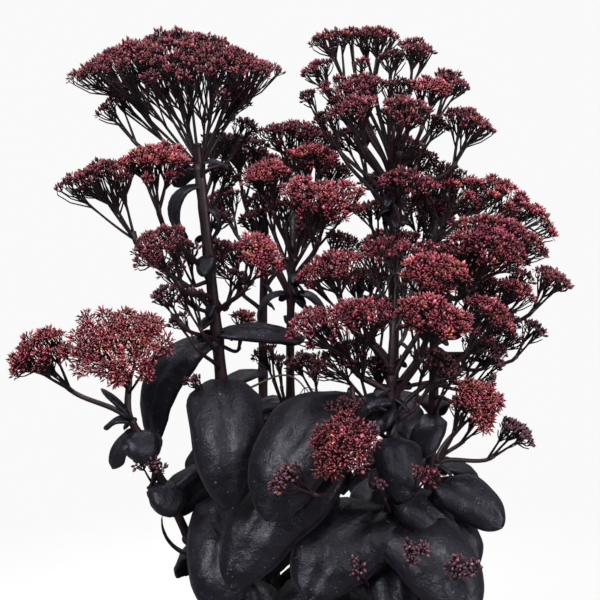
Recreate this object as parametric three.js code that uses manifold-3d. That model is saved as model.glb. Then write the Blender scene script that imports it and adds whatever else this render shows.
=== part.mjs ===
// A potted orpine: a clump of fleshy, near-black leafy stems, each carrying domed heads of small dusty-red florets.
// The pot is filled with soil, the stems stand in plain holes in it, and each head stands on a branch of its stem.
// Lengths are in millimetres, +Z is up, and the origin is the middle of the pot's foot. The front is -Y.
import * as THREE from "three";
import { mergeVertices } from "three/addons/utils/BufferGeometryUtils.js";
import Module from "manifold-3d";

const wasm = await Module();
wasm.setup();
const { Manifold, Mesh } = wasm;

// Driving dimensions
const GAP = 0.3;
const POT = { height: 165, rim: 104, foot: 72, wall: 5, floor: 7, band: 27, ledge: 5, edge: 3, sides: 20 };
const DRAIN = { radius: 6, ring: 40, count: 4, sides: 8 };
const SOIL = { top: 145, relief: 1.8, clearance: 0.6 };
const STEM_FOOT = 100;
const STEM = { sides: 5, steps: 7, taper: 0.42, sunk_steps: 2, hole_clearance: 0.4 };
const BRANCH = { radius: 0.9, gain: 0.014, sides: 4, steps: 3, straight: 0.35 };
const LEAF = { thick: 3.4, edge: 0.9, base: 0.34, swell: 0.36, lobe: 0.5, curl: 0.3, curl_gain: 0.5, bend: 0.8 };
const LEAF_OUTLINE = 4.5;
const LEAF_STOPS = [0, 0.16, 0.42, 0.7, 0.91, 0.99];
const ARC_STEPS = 48;
const CANOPY = { pitch: 10, sag: 0.17, relief: 1.8, floret: 4.6, jitter: 1.1, lobes: 0.08, inset: 3.2 };
const FAN = { ribs: 6, reach: 0.74, waist: 0.14, drop: 0.03, point: 0.1, depth: 0.46, stalk: 18 };

// Stems: the Bezier points of the centreline, from the bottom of its hole to its tip, and the radius at the bottom.
const STEMS = {
  left: { path: [[-40, -12, STEM_FOOT], [-62, -40, 230], [-72, -48, 400], [-87, -20, 532]], radius: 5.4 },
  middle: { path: [[5, 25, STEM_FOOT], [-25, 25, 210], [-34, 15, 330], [-28, 10, 470]], radius: 4.4 },
  tall: { path: [[28, 18, STEM_FOOT], [40, 15, 240], [45, 8, 380], [37, 0, 522]], radius: 5.0 },
  front: { path: [[12, -28, STEM_FOOT], [22, -60, 190], [38, -86, 290], [33, -70, 408]], radius: 5.4 },
  right: { path: [[45, 5, STEM_FOOT], [60, 0, 220], [75, -10, 350], [62, -5, 472]], radius: 4.8 },
  low_left: { path: [[-28, -32, STEM_FOOT], [-62, -44, 200], [-94, -56, 300], [-128, -66, 378]], radius: 4.0 },
  low_right: { path: [[38, -28, STEM_FOOT], [50, -60, 200], [62, -72, 290], [62, -72, 352]], radius: 4.0 },
  short: { path: [[-8, -40, STEM_FOOT], [-16, -54, 190], [-6, -58, 290], [8, -80, 402]], radius: 4.0 },
  back_left: { path: [[-25, 38, STEM_FOOT], [-50, 60, 230], [-55, 85, 360], [-48, 88, 470]], radius: 4.8 },
  back_right: { path: [[25, 42, STEM_FOOT], [40, 70, 230], [55, 90, 340], [45, 92, 436]], radius: 4.8 },
};

// Heads: the stem and where on it the branch leaves, the colour, the top of the head, its width and depth, how far
// it leans towards +X and +Y, and the foot of its rays where that isn't straight below the top.
const HEADS = [
  ["left", 1.0, "dusty", [-101, -15, 614], 134, 88, [-0.03, 0.0], [-88, -19, 545]],
  ["left", 0.76, "dusty", [-148, -44, 538], 54, 36, [-0.12, 0.05], [-127, -40, 492]],
  ["left", 0.8, "bright", [-107, -80, 551], 44, 34, [0.0, -0.2]],
  ["left", 0.78, "dusty", [-109, -90, 499], 40, 38, [-0.4, -0.4]],
  ["left", 0.76, "bright", [-45, -68, 490], 34, 34, [0.35, -0.5]],
  ["left", 0.72, "bright", [-58, -14, 436], 20, 18, [0.2, -0.2]],
  ["middle", 1.0, "dusty", [-20, 58, 556], 64, 48, [0.15, 0.2]],
  ["middle", 0.9, "bud", [-66, 42, 547], 44, 40, [-0.1, 0.2]],
  ["middle", 0.98, "bright", [-47, -10, 533], 34, 32, [-0.2, -0.2]],
  ["middle", 0.96, "bright", [-13, 6, 543], 37, 30, [0.1, 0.0]],
  ["middle", 0.93, "bright", [-7, -42, 525], 58, 34, [0.1, -0.5]],
  ["tall", 0.97, "dusty", [-5, 2, 617], 28, 24, [-0.3, 0.0]],
  ["tall", 1.0, "dusty", [25, 16, 621], 35, 30, [0.0, 0.1]],
  ["tall", 1.0, "dusty", [52, -6, 611], 29, 24, [0.15, 0.0]],
  ["tall", 0.95, "dusty", [-15, 18, 597], 24, 20, [-0.5, 0.0]],
  ["tall", 0.96, "dusty", [9, -28, 588], 47, 24, [-0.1, -0.3]],
  ["tall", 0.94, "dusty", [7, -58, 576], 33, 28, [-0.3, -0.4]],
  ["tall", 0.98, "dusty", [41, -56, 574], 35, 30, [0.1, -0.4]],
  ["tall", 0.98, "bright", [60, -26, 586], 28, 24, [0.2, -0.2]],
  ["tall", 0.97, "dusty", [79, 12, 590], 29, 24, [0.4, 0.1]],
  ["tall", 0.95, "dusty", [87, -10, 567], 38, 28, [0.3, 0.0]],
  ["tall", 0.95, "dusty", [42, -46, 532], 42, 26, [0.0, -0.4]],
  ["right", 1.0, "bright", [109, 15, 521], 107, 44, [0.36, 0.16], [71, 5, 486]],
  ["right", 0.94, "dusty", [109, -31, 498], 66, 30, [0.38, -0.2]],
  ["right", 0.9, "dusty", [93, -66, 496], 54, 34, [0.3, -0.4]],
  ["right", 0.86, "dusty", [114, -52, 464], 27, 24, [0.4, -0.3]],
  ["right", 0.82, "dusty", [144, -22, 467], 29, 28, [0.5, -0.1]],
  ["right", 0.8, "bud", [135, -12, 428], 20, 18, [0.6, 0.0]],
  ["front", 1.0, "dusty", [46, -32, 487], 80, 28, [0.05, 0.0], [36, -50, 442]],
  ["front", 0.99, "dusty", [-9, -60, 484], 46, 36, [-0.3, -0.1]],
  ["front", 0.97, "bright", [58, -78, 484], 46, 34, [0.1, -0.3]],
  ["front", 0.95, "dusty", [-4, -98, 459], 66, 36, [-0.3, -0.4]],
  ["front", 0.93, "bright", [56, -110, 462], 50, 32, [0.2, -0.5]],
  ["front", 0.9, "dusty", [95, -78, 456], 34, 34, [0.5, -0.2]],
  ["low_right", 1.0, "bright", [89, -84, 404], 37, 30, [0.4, -0.6]],
  ["low_right", 0.98, "bud", [115, -76, 380], 28, 24, [0.7, -0.3]],
  ["short", 0.95, "bright", [-3, -139, 392], 42, 44, [-0.5, -1.0], [18, -117, 370]],
  ["short", 0.8, "bud", [-36, -142, 371], 24, 22, [-1.2, -0.8]],
  ["front", 0.62, "bud", [43, -134, 324], 18, 16, [0.0, -1.2]],
  ["front", 0.55, "bud", [69, -141, 317], 23, 18, [0.0, -1.2]],
  ["low_left", 0.98, "bright", [-192, -60, 428], 49, 36, [-0.6, -0.4]],
  ["low_left", 1.0, "bright", [-131, -96, 441], 69, 60, [-0.05, -1.0]],
  ["back_left", 1.0, "dusty", [-45, 95, 532], 54, 46, [0.1, 0.2]],
  ["back_left", 0.82, "dusty", [-82, 92, 464], 40, 36, [-0.4, 0.2]],
  ["back_left", 0.86, "dusty", [-12, 122, 492], 44, 40, [0.4, 0.5]],
  ["back_right", 1.0, "dusty", [78, 88, 496], 54, 46, [0.4, 0.1]],
  ["back_right", 0.85, "dusty", [108, 70, 446], 42, 38, [0.6, 0.0]],
  ["back_right", 0.8, "dusty", [66, 126, 420], 40, 34, [0.3, 0.8]],
];

// Leaves: the stem, where on it the leaf sits, the way it points in degrees from +X, its length and width,
// how steeply it starts, how steeply its tip hangs, and how far the blade is rolled about its midrib.
const LEAVES = [
  ["left", 0.67, -83, 108, 49, 32, 96, 0],
  ["left", 0.5, -96, 96, 52, 24, 86, 0],
  ["left", 0.58, 185, 34, 24, 10, 60, -30],
  ["left", 0.735, 192, 90, 32, 6, 108, -44],
  ["left", 0.745, 4, 58, 24, 20, 24, 20],
  ["left", 0.965, 188, 50, 15, 22, 150, -30],
  ["left", 0.93, -4, 30, 9, 20, 160, 10],
  ["left", 0.86, -96, 22, 14, 20, 70, 0],
  ["left", 0.42, 140, 78, 44, 24, 80, 0],
  ["middle", 0.93, 186, 46, 15, 40, 130, 0],
  ["middle", 0.93, -8, 44, 16, 40, 120, 0],
  ["middle", 0.72, 182, 40, 22, 10, 30, 0],
  ["middle", 0.62, 80, 60, 34, 20, 60, 0],
  ["front", 0.88, -84, 52, 32, 36, 92, 0],
  ["front", 0.95, 200, 34, 16, 60, 80, -20],
  ["front", 0.74, 218, 80, 56, 10, 62, -45],
  ["front", 0.73, -51, 85, 52, 10, 66, 30],
  ["front", 0.5, -75, 84, 50, 16, 84, 0],
  ["front", 0.36, -125, 66, 44, 20, 84, 0],
  ["low_right", 0.93, -26, 50, 32, 4, 52, 45],
  ["low_right", 0.8, 4, 36, 26, 0, 60, 20],
  ["low_right", 0.6, -40, 56, 40, 10, 86, 20],
  ["low_right", 0.4, -35, 50, 38, 16, 84, 0],
  ["short", 0.98, 226, 102, 56, 16, 84, -20],
  ["short", 0.84, 207, 104, 50, -4, 70, -44],
  ["short", 0.6, -115, 84, 50, 14, 84, 0],
  ["short", 0.52, 180, 72, 46, 14, 80, -20],
  ["low_left", 0.96, -62, 26, 28, 28, 110, 0],
  ["low_left", 0.96, 205, 30, 26, 8, 96, 0],
  ["low_left", 1.0, 176, 20, 16, 30, 60, 0],
  ["low_left", 0.82, -66, 26, 26, 10, 90, 0],
  ["low_left", 0.81, 100, 26, 22, 20, 90, 0],
  ["low_left", 0.68, -30, 30, 22, 20, 80, 0],
  ["right", 0.6, 40, 64, 34, 24, 76, 0],
  ["right", 0.48, -55, 56, 38, 20, 88, 0],
  ["right", 0.44, 70, 80, 44, 16, 80, 0],
  ["right", 0.72, 80, 48, 24, 30, 70, 0],
  ["tall", 0.45, 110, 64, 36, 30, 70, 0],
  ["tall", 0.6, 20, 44, 22, 30, 60, 0],
  ["back_left", 0.35, 120, 84, 48, 20, 80, 0],
  ["back_left", 0.38, 180, 80, 46, 20, 84, 0],
  ["back_left", 0.5, 90, 76, 42, 20, 80, 0],
  ["back_left", 0.55, 150, 70, 38, 20, 76, 0],
  ["back_left", 0.7, 190, 54, 28, 24, 70, 0],
  ["back_right", 0.35, 80, 84, 48, 20, 80, 0],
  ["back_right", 0.4, 5, 76, 46, 20, 84, 0],
  ["back_right", 0.52, 110, 74, 40, 20, 80, 0],
  ["back_right", 0.55, 45, 70, 38, 20, 76, 0],
  ["back_right", 0.7, 20, 50, 26, 24, 70, 0],
];

// Finishes
const DARK = { color: 0x2a2227, roughness: 0.55, metalness: 0 };
const FLORETS = {
  dusty: { color: 0x7d3038, roughness: 0.85, metalness: 0 },
  bright: { color: 0xa23348, roughness: 0.85, metalness: 0 },
  bud: { color: 0x5c3348, roughness: 0.85, metalness: 0 },
};
const CLAY = { color: 0xa4603f, roughness: 0.9, metalness: 0 };
const EARTH = { color: 0x2c211a, roughness: 1, metalness: 0 };

const vector = (p) => new THREE.Vector3(...p);
const radians = THREE.MathUtils.degToRad;
const X = vector([1, 0, 0]);
const Y = vector([0, 1, 0]);
const Z = vector([0, 0, 1]);

// A number from 0 to 1 that is always the same for the same two whole numbers.
function chance(seed, index) {
  const wave = Math.sin(seed * 12.9898 + index * 78.233) * 43758.5453;
  return wave - Math.floor(wave);
}

// Closed geometries and the solids that are joined and cut
function geometryFrom(points, triangles) {
  return new THREE.BufferGeometry().setFromPoints(points).setIndex(triangles);
}

function solidOf(geometry) {
  geometry.deleteAttribute("normal");
  geometry.deleteAttribute("uv");
  const merged = mergeVertices(geometry, 1e-3);
  const triVerts = new Uint32Array(merged.index.array);
  return new Manifold(new Mesh({ numProp: 3, vertProperties: merged.attributes.position.array, triVerts }));
}

function meshOf(name, solid, look) {
  const { vertProperties, triVerts } = solid.getMesh();
  const geometry = new THREE.BufferGeometry();
  geometry.setAttribute("position", new THREE.BufferAttribute(new Float32Array(vertProperties), 3));
  geometry.setIndex(new THREE.BufferAttribute(new Uint32Array(triVerts), 1));
  const mesh = new THREE.Mesh(geometry, new THREE.MeshStandardMaterial({ ...look, flatShading: true }));
  mesh.name = name;
  return mesh;
}

// A ring of points about `along`, the first of them on the side of `across`.
function ring(centre, along, radius, sides, across) {
  const u = across.clone().addScaledVector(along, -across.dot(along)).normalize();
  const v = along.clone().cross(u);
  return Array.from({ length: sides }, (_, k) => {
    const angle = (2 * Math.PI * k) / sides;
    return centre.clone().addScaledVector(u, radius * Math.cos(angle)).addScaledVector(v, radius * Math.sin(angle));
  });
}

// A closed solid through rings of equally many points, anticlockwise about the way they follow each other.
// The sides named in `crossed` are split along their other diagonal.
function loft(rings, crossed = []) {
  const count = rings[0].length;
  const last = (rings.length - 1) * count;
  const triangles = [];
  for (let i = 0; i < last; i += count) {
    for (let j = 0; j < count; j++) {
      const [a, b] = [i + j, i + ((j + 1) % count)];
      const [c, d] = [b + count, a + count];
      triangles.push(...(crossed.includes(j) ? [a, b, d, b, c, d] : [a, b, c, a, c, d]));
    }
  }
  for (let j = 1; j + 1 < count; j++) triangles.push(0, j + 1, j, last, last + j, last + j + 1);
  return solidOf(geometryFrom(rings.flat(), triangles));
}

function tube(curve, radiusAt, sides, steps) {
  const across = Math.abs(curve.getTangent(0.5).x) > 0.8 ? Y : X;
  const stops = Array.from({ length: steps + 1 }, (_, i) => i / steps);
  return loft(stops.map((t) => ring(curve.getPoint(t), curve.getTangent(t), radiusAt(t), sides, across)));
}

// Pot and soil
function turned(profile) {
  const points = profile.map(([r, z]) => new THREE.Vector2(r, z));
  return new THREE.LatheGeometry(points, POT.sides).rotateX(Math.PI / 2);
}

const bandFoot = POT.height - POT.band;
const wallRadius = (z) => POT.foot + ((POT.rim - POT.ledge - POT.foot) * z) / bandFoot;
const bore = wallRadius(bandFoot) - POT.wall;

function makePot() {
  const body = solidOf(turned([
    [0, 0], [POT.foot, 0], [wallRadius(bandFoot), bandFoot], [POT.rim - 1, bandFoot],
    [POT.rim, POT.height - POT.edge], [POT.rim - POT.edge, POT.height], [bore + POT.edge, POT.height],
    [bore, POT.height - POT.edge], [bore, bandFoot], [wallRadius(POT.floor) - POT.wall, POT.floor], [0, POT.floor],
  ]));
  const drains = Array.from({ length: DRAIN.count }, (_, k) => {
    const angle = ((k + 0.5) / DRAIN.count) * 2 * Math.PI;
    const drill = new THREE.CylinderGeometry(DRAIN.radius, DRAIN.radius, 4 * POT.floor, DRAIN.sides);
    drill.rotateX(Math.PI / 2).translate(DRAIN.ring * Math.cos(angle), DRAIN.ring * Math.sin(angle), 0);
    return solidOf(drill);
  });
  return body.subtract(Manifold.union(drains));
}

function makeSoil(holes) {
  const edge = bore - SOIL.clearance;
  const low = POT.floor + GAP;
  const fill = turned([
    [0, low], [wallRadius(low) - POT.wall - SOIL.clearance, low], [edge, bandFoot], [edge, SOIL.top - SOIL.relief],
    [edge * 0.7, SOIL.top], [edge * 0.35, SOIL.top], [0, SOIL.top],
  ]);
  const spots = fill.attributes.position;
  for (let i = 0; i < spots.count; i++) {
    if (spots.getZ(i) < SOIL.top - SOIL.relief / 2) continue;
    spots.setZ(i, SOIL.top + SOIL.relief * Math.sin(spots.getX(i) * 0.13 + 1) * Math.cos(spots.getY(i) * 0.11));
  }
  return solidOf(fill).subtract(Manifold.union(holes));
}

// Leaves: a fleshy blade that clasps its stem, arches out and hangs, with its edges bent down.
function leafFrame(leaf, s) {
  const slopeAt = (q) => radians(leaf.rise - (leaf.rise + leaf.hang) * q ** LEAF.bend);
  const step = leaf.length / ARC_STEPS;
  let [out, up] = [0, 0];
  for (let i = 0; i < Math.round(s * ARC_STEPS); i++) {
    out += step * Math.cos(slopeAt((i + 0.5) / ARC_STEPS));
    up += step * Math.sin(slopeAt((i + 0.5) / ARC_STEPS));
  }
  const azimuth = radians(leaf.azimuth);
  const heading = vector([Math.cos(azimuth), Math.sin(azimuth), 0]);
  const slope = slopeAt(s);
  const along = heading.clone().multiplyScalar(Math.cos(slope)).setZ(Math.sin(slope));
  const level = heading.clone().multiplyScalar(-Math.sin(slope)).setZ(Math.cos(slope));
  const face = level.applyAxisAngle(along, radians(leaf.roll) * Math.min(1, 2.5 * s));
  const centre = leaf.base.clone().addScaledVector(heading, out).addScaledVector(Z, up);
  return { centre, along, face, side: face.clone().cross(along) };
}

function leafPoint(leaf, s, v, surface) {
  const { centre, along, face, side } = leafFrame(leaf, s);
  const swell = LEAF.base + (1 - LEAF.base) * Math.sin(Math.min(1, s / LEAF.swell) * (Math.PI / 2));
  const half = (leaf.width / 2) * Math.sqrt(1 - s ** LEAF_OUTLINE) * swell;
  const curl = LEAF.curl + LEAF.curl_gain * s;
  const thick = Math.max(LEAF.edge, LEAF.thick * (1 - 0.6 * v * v) * (1 - 0.45 * s * s));
  return centre
    .addScaledVector(side, (half * Math.sin(curl * v)) / curl)
    .addScaledVector(face, (-half * (1 - Math.cos(curl * v))) / curl + (surface * thick) / 2)
    .addScaledVector(along, -LEAF.lobe * half * v * v * (1 - s) ** 3);
}

function leafSolid(leaf) {
  const upper = [1, 0, -1].map((v) => [v, 1]);
  const lower = [-1, 0, 1].map((v) => [v, -1]);
  const section = [...upper, ...lower];
  return loft(LEAF_STOPS.map((s) => section.map(([v, surface]) => leafPoint(leaf, s, v, surface))), [3, 4]);
}

// Heads, in their own frame: the foot of the rays is the origin and +Z is the way the head faces.
// A canopy's points lie on rings of 6, 12, 18 and so on about its top, joined as in a honeycomb.
const SPOKES = [[1, 0], [0, 1], [-1, 1], [-1, 0], [0, -1], [1, -1]];

// Every third point of the honeycomb is the middle of a small dome, and the points round it are the dips between domes.
function isDome(k, j) {
  if (k === 0) return true;
  const [spoke, next] = [SPOKES[Math.floor(j / k)], SPOKES[(Math.floor(j / k) + 1) % 6]];
  const [q, r] = [0, 1].map((n) => k * spoke[n] + (j % k) * (next[n] - spoke[n]));
  return (q - r) % 3 === 0;
}

function canopyPoint(head, rings, k, j) {
  const index = 3 * k * (k - 1) + j + 1;
  const wander = k === 0 ? 0 : (chance(head.seed, index) - 0.5) / (k === rings ? 4 * k : 2 * k);
  const angle = head.seed + (k === 0 ? 0 : (2 * Math.PI * j) / (6 * k)) + wander;
  const lobes = 1 + CANOPY.lobes * (Math.sin(3 * angle + head.seed) + 0.6 * Math.sin(5 * angle + 2 * head.seed));
  const reach = (k / rings) * lobes;
  const relief = isDome(k, j) && k < rings ? 0 : -2 * CANOPY.relief;
  const rough = CANOPY.jitter * (chance(head.seed, index + 400) - 0.5);
  const fall = CANOPY.sag * head.wide * reach ** 2 + CANOPY.inset;
  const [x, y] = [(head.wide / 2) * Math.cos(angle), (head.deep / 2) * Math.sin(angle)];
  return head.top.clone().add(vector([x * reach, y * reach, relief + rough - fall]));
}

// The star that the ribs of the fan make where they meet the canopy.
function fanPoint(head, ribs, j) {
  const onRib = j % 2 === 0;
  const angle = head.seed + (Math.PI * j) / ribs;
  const reach = onRib ? FAN.reach : FAN.waist;
  const drop = CANOPY.floret + 2 * CANOPY.relief + (CANOPY.sag + (onRib ? FAN.drop : FAN.point)) * head.wide;
  const [x, y] = [(head.wide / 2) * Math.cos(angle), (head.deep / 2) * Math.sin(angle)];
  return head.top.clone().add(vector([x * reach, y * reach, -drop]));
}

const branchRadius = (head) => BRANCH.radius + BRANCH.gain * head.wide;

// A head: a floret stands on every facet of the canopy's upper side, and below it the fan's ribs run to the foot.
function headSolid(head) {
  const rings = Math.max(1, Math.round(head.wide / 2 / CANOPY.pitch));
  const ribs = Math.min(FAN.ribs, rings + 2);
  const at = (k, j) => (k === 0 ? 0 : 3 * k * (k - 1) + 1 + (j % (6 * k)));
  const points = [canopyPoint(head, rings, 0, 0)];
  for (let k = 1; k <= rings; k++) {
    for (let j = 0; j < 6 * k; j++) points.push(canopyPoint(head, rings, k, j));
  }
  const triangles = [];
  const floret = (a, b, c) => {
    const [p, q, r] = [a, b, c].map((n) => points[n]);
    const normal = q.clone().sub(p).cross(r.clone().sub(p)).normalize().add(Z).normalize();
    const lift = CANOPY.floret * (0.75 + 0.5 * chance(head.seed, points.length));
    const tip = points.push(p.clone().add(q).add(r).divideScalar(3).addScaledVector(normal, lift)) - 1;
    triangles.push(a, b, tip, b, c, tip, c, a, tip);
  };
  for (let k = 1; k <= rings; k++) {
    for (let j = 0; j < 6 * k; j++) {
      const inner = Math.floor(j / k) * (k - 1) + (j % k);
      floret(at(k - 1, inner), at(k, j), at(k, j + 1));
      if (j % k < k - 1) floret(at(k - 1, inner), at(k, j + 1), at(k - 1, inner + 1));
    }
  }
  const star = Array.from({ length: 2 * ribs }, (_, j) => points.push(fanPoint(head, ribs, j)) - 1);
  const foot = star.map((_, j) => {
    const angle = head.seed + (Math.PI * j) / ribs;
    return points.push(vector([Math.cos(angle), Math.sin(angle), 0]).multiplyScalar(branchRadius(head))) - 1;
  });
  const facing = (j) => Math.floor((j * star.length) / (6 * rings)) % star.length;
  for (let j = 0; j < 6 * rings; j++) {
    const [here, next] = [star[facing(j)], star[facing(j + 1)]];
    triangles.push(at(rings, j + 1), at(rings, j), here);
    if (here !== next) triangles.push(at(rings, j + 1), here, next);
  }
  for (let j = 0; j < star.length; j++) {
    const next = (j + 1) % star.length;
    triangles.push(foot[j], foot[next], star[next], foot[j], star[next], star[j]);
    if (j > 0 && next > 0) triangles.push(foot[0], foot[next], foot[j]);
  }
  return solidOf(geometryFrom(points, triangles));
}

function branchSolid(head, stem) {
  const start = stem.curve.getPoint(head.from);
  const end = head.foot.clone().addScaledVector(head.up, -GAP);
  const straight = BRANCH.straight * end.distanceTo(start);
  const leave = start.clone().addScaledVector(stem.curve.getTangent(head.from), straight);
  const arrive = end.clone().addScaledVector(head.up, -straight);
  const curve = new THREE.CubicBezierCurve3(start, leave, arrive, end);
  return tube(curve, () => branchRadius(head), BRANCH.sides, BRANCH.steps);
}

// Assembly
const stems = Object.entries(STEMS).map(([name, { path, radius }]) => {
  const curve = new THREE.CubicBezierCurve3(...path.map(vector));
  const radiusAt = (t) => radius * (1 - STEM.taper * t);
  const sunk = Array.from({ length: STEM.sunk_steps + 1 }, (_, i) => i / STEM.steps);
  const hole = loft(sunk.map((t) => {
    const centre = curve.getPoint(t).addScaledVector(curve.getTangent(t), t === 0 ? -GAP : 0);
    return ring(centre, curve.getTangent(t), radiusAt(t) + STEM.hole_clearance, STEM.sides, X);
  }));
  return { name, curve, hole, parts: [tube(curve, radiusAt, STEM.sides, STEM.steps)], heads: [] };
});
const stemNamed = Object.fromEntries(stems.map((stem) => [stem.name, stem]));

for (const [index, [name, from, tone, crown, wide, deep, lean, foot]] of HEADS.entries()) {
  const up = vector([...lean, 1]).normalize();
  const right = X.clone().addScaledVector(up, -up.x).normalize();
  const turn = new THREE.Matrix4().makeBasis(right, up.clone().cross(right), up);
  const base = foot ? vector(foot) : vector(crown).addScaledVector(up, -(FAN.depth * wide + FAN.stalk));
  const top = vector(crown).sub(base).applyMatrix4(turn.clone().invert());
  const head = { from, tone, top, wide, deep, up, turn, foot: base, seed: index + 1 };
  stemNamed[name].heads.push(head);
  stemNamed[name].parts.push(branchSolid(head, stemNamed[name]));
}
for (const [name, t, azimuth, length, width, rise, hang, roll] of LEAVES) {
  const base = stemNamed[name].curve.getPoint(t);
  stemNamed[name].parts.push(leafSolid({ base, azimuth, length, width, rise, hang, roll }));
}

const plant = new THREE.Group();
plant.add(meshOf("pot", makePot(), CLAY));
plant.add(meshOf("soil", makeSoil(stems.map((stem) => stem.hole)), EARTH));
for (const stem of stems) {
  plant.add(meshOf(`stem_${stem.name}`, Manifold.union(stem.parts), DARK));
  for (const [index, head] of stem.heads.entries()) {
    const mesh = meshOf(`head_${stem.name}_${index + 1}`, headSolid(head), FLORETS[head.tone]);
    mesh.position.copy(head.foot);
    mesh.quaternion.setFromRotationMatrix(head.turn);
    plant.add(mesh);
  }
}

export default plant;
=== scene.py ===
"""A potted orpine: florets on fans of fine rays, fleshy near-black leaves, and a clay pot of soil.

Lengths in the tables are in millimetres, and what is built is in metres. +Z is up and the front is -Y.
"""
import math
from types import SimpleNamespace as Sizes

import bpy
import numpy as np
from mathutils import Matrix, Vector


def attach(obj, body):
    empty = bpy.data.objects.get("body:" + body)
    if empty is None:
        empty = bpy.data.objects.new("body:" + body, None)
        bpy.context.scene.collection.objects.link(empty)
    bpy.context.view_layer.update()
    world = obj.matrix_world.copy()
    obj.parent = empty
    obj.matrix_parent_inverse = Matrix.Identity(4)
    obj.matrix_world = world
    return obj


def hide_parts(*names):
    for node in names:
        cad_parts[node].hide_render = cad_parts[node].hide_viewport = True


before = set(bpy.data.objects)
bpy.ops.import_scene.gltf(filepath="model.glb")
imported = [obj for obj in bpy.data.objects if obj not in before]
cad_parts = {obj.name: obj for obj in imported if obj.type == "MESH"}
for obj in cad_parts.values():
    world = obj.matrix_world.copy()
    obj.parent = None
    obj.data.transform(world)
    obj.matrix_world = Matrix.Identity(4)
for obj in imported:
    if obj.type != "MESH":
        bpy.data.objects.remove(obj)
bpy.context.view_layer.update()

MM = 0.001
GOLDEN = math.pi * (3 - math.sqrt(5))
UP = np.array([0, 0, 1.0])

# The camera stands at the photograph's angle, at this distance from the point that it looks at.
CAMERA = Sizes(target=(-23, 0, 440), distance=750, elevation=12, lens=67.5, sensor=36)

# Sizes that the solids have too
GAP = 0.3
POT = Sizes(height=165, rim=104, foot=72, wall=5, floor=7, band=27, ledge=5, sides=128)
DRAIN = Sizes(radius=6, ring=40, count=4, sides=28)
SOIL_TOP = 145
STEM_FOOT = 100
STEM = Sizes(taper=0.42, sides=14, steps=90, length=400, joint=0.16, joint_width=0.012)
BRANCH = Sizes(radius=0.9, gain=0.014, straight=0.35, sides=8, steps=13, flare=0.25)
LEAF = Sizes(thick=4.6, base=0.34, swell=0.36, lobe=0.5, curl=0.3, curl_gain=0.5, bend=0.8,
             outline=4.5, edge=3.2, thinning=0.35, full_width=40)
CANOPY_SAG = 0.17
FAN = Sizes(depth=0.46, stalk=18)

# Florets stand in small round domes, which make up the canopies of the heads. Small heads have smaller domes.
DOME = Sizes(radius=7.6, least=4.8, share=0.16, area=1.75, spread=1.1, upright=0.6,
             packing=0.87, rise=(0.84, 1.08), sink=0.55)
# The canopy's domes stand in steps, and a large head has some smaller domes in the shade below its rim.
UPPER = Sizes(sizes=(0.85, 1.08), inset=0.35, splay=0.45, sink=1.5)
STEPS = Sizes(height=4.0, domes=5, full_width=60)
LOWER = Sizes(least_head=36, sizes=(0.62, 0.85), inset=0.7, splay=1.3, reach=(0.6, 0.98),
              drop=(0.07, 0.15), sink=5)
FLORET = Sizes(wild=0.3, unevenness=0.42, sizes=(0.75, 1.2))
PEDICEL = 0.32

# A head's thick rays fork off its branch, thinner ones fork off those, and the fine ones carry the florets.
TRUNK = Sizes(domes=8, radius=0.7, gain=0.03, fork=0.24, reach=0.8, sides=6, steps=9)
TWIG = Sizes(domes=2.6, radius=0.5, leave=(0.42, 0.9), sides=4, steps=6)
RAY = Sizes(radius=0.47, count=6, join=(0.1, 0.9), points=4, disc=0.7, bow=0.12)
RAY_BOW = 0.05
BRACT = Sizes(least_head=26, length=9, gain=0.13, width=0.55, rise=20, hang=70, turn=50, roll=40)

# Stems: the Bezier points of the centreline, from the bottom of its hole to its tip, and the radius there.
STEMS = {
    "left": ([(-40, -12, STEM_FOOT), (-62, -40, 230), (-72, -48, 400), (-87, -20, 532)], 5.4),
    "middle": ([(5, 25, STEM_FOOT), (-25, 25, 210), (-34, 15, 330), (-28, 10, 470)], 4.4),
    "tall": ([(28, 18, STEM_FOOT), (40, 15, 240), (45, 8, 380), (37, 0, 522)], 5.0),
    "front": ([(12, -28, STEM_FOOT), (22, -60, 190), (38, -86, 290), (33, -70, 408)], 5.4),
    "right": ([(45, 5, STEM_FOOT), (60, 0, 220), (75, -10, 350), (62, -5, 472)], 4.8),
    "low_left": ([(-28, -32, STEM_FOOT), (-62, -44, 200), (-94, -56, 300), (-128, -66, 378)], 4.0),
    "low_right": ([(38, -28, STEM_FOOT), (50, -60, 200), (62, -72, 290), (62, -72, 352)], 4.0),
    "short": ([(-8, -40, STEM_FOOT), (-16, -54, 190), (-6, -58, 290), (8, -80, 402)], 4.0),
    "back_left": ([(-25, 38, STEM_FOOT), (-50, 60, 230), (-55, 85, 360), (-48, 88, 470)], 4.8),
    "back_right": ([(25, 42, STEM_FOOT), (40, 70, 230), (55, 90, 340), (45, 92, 436)], 4.8),
}

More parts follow.
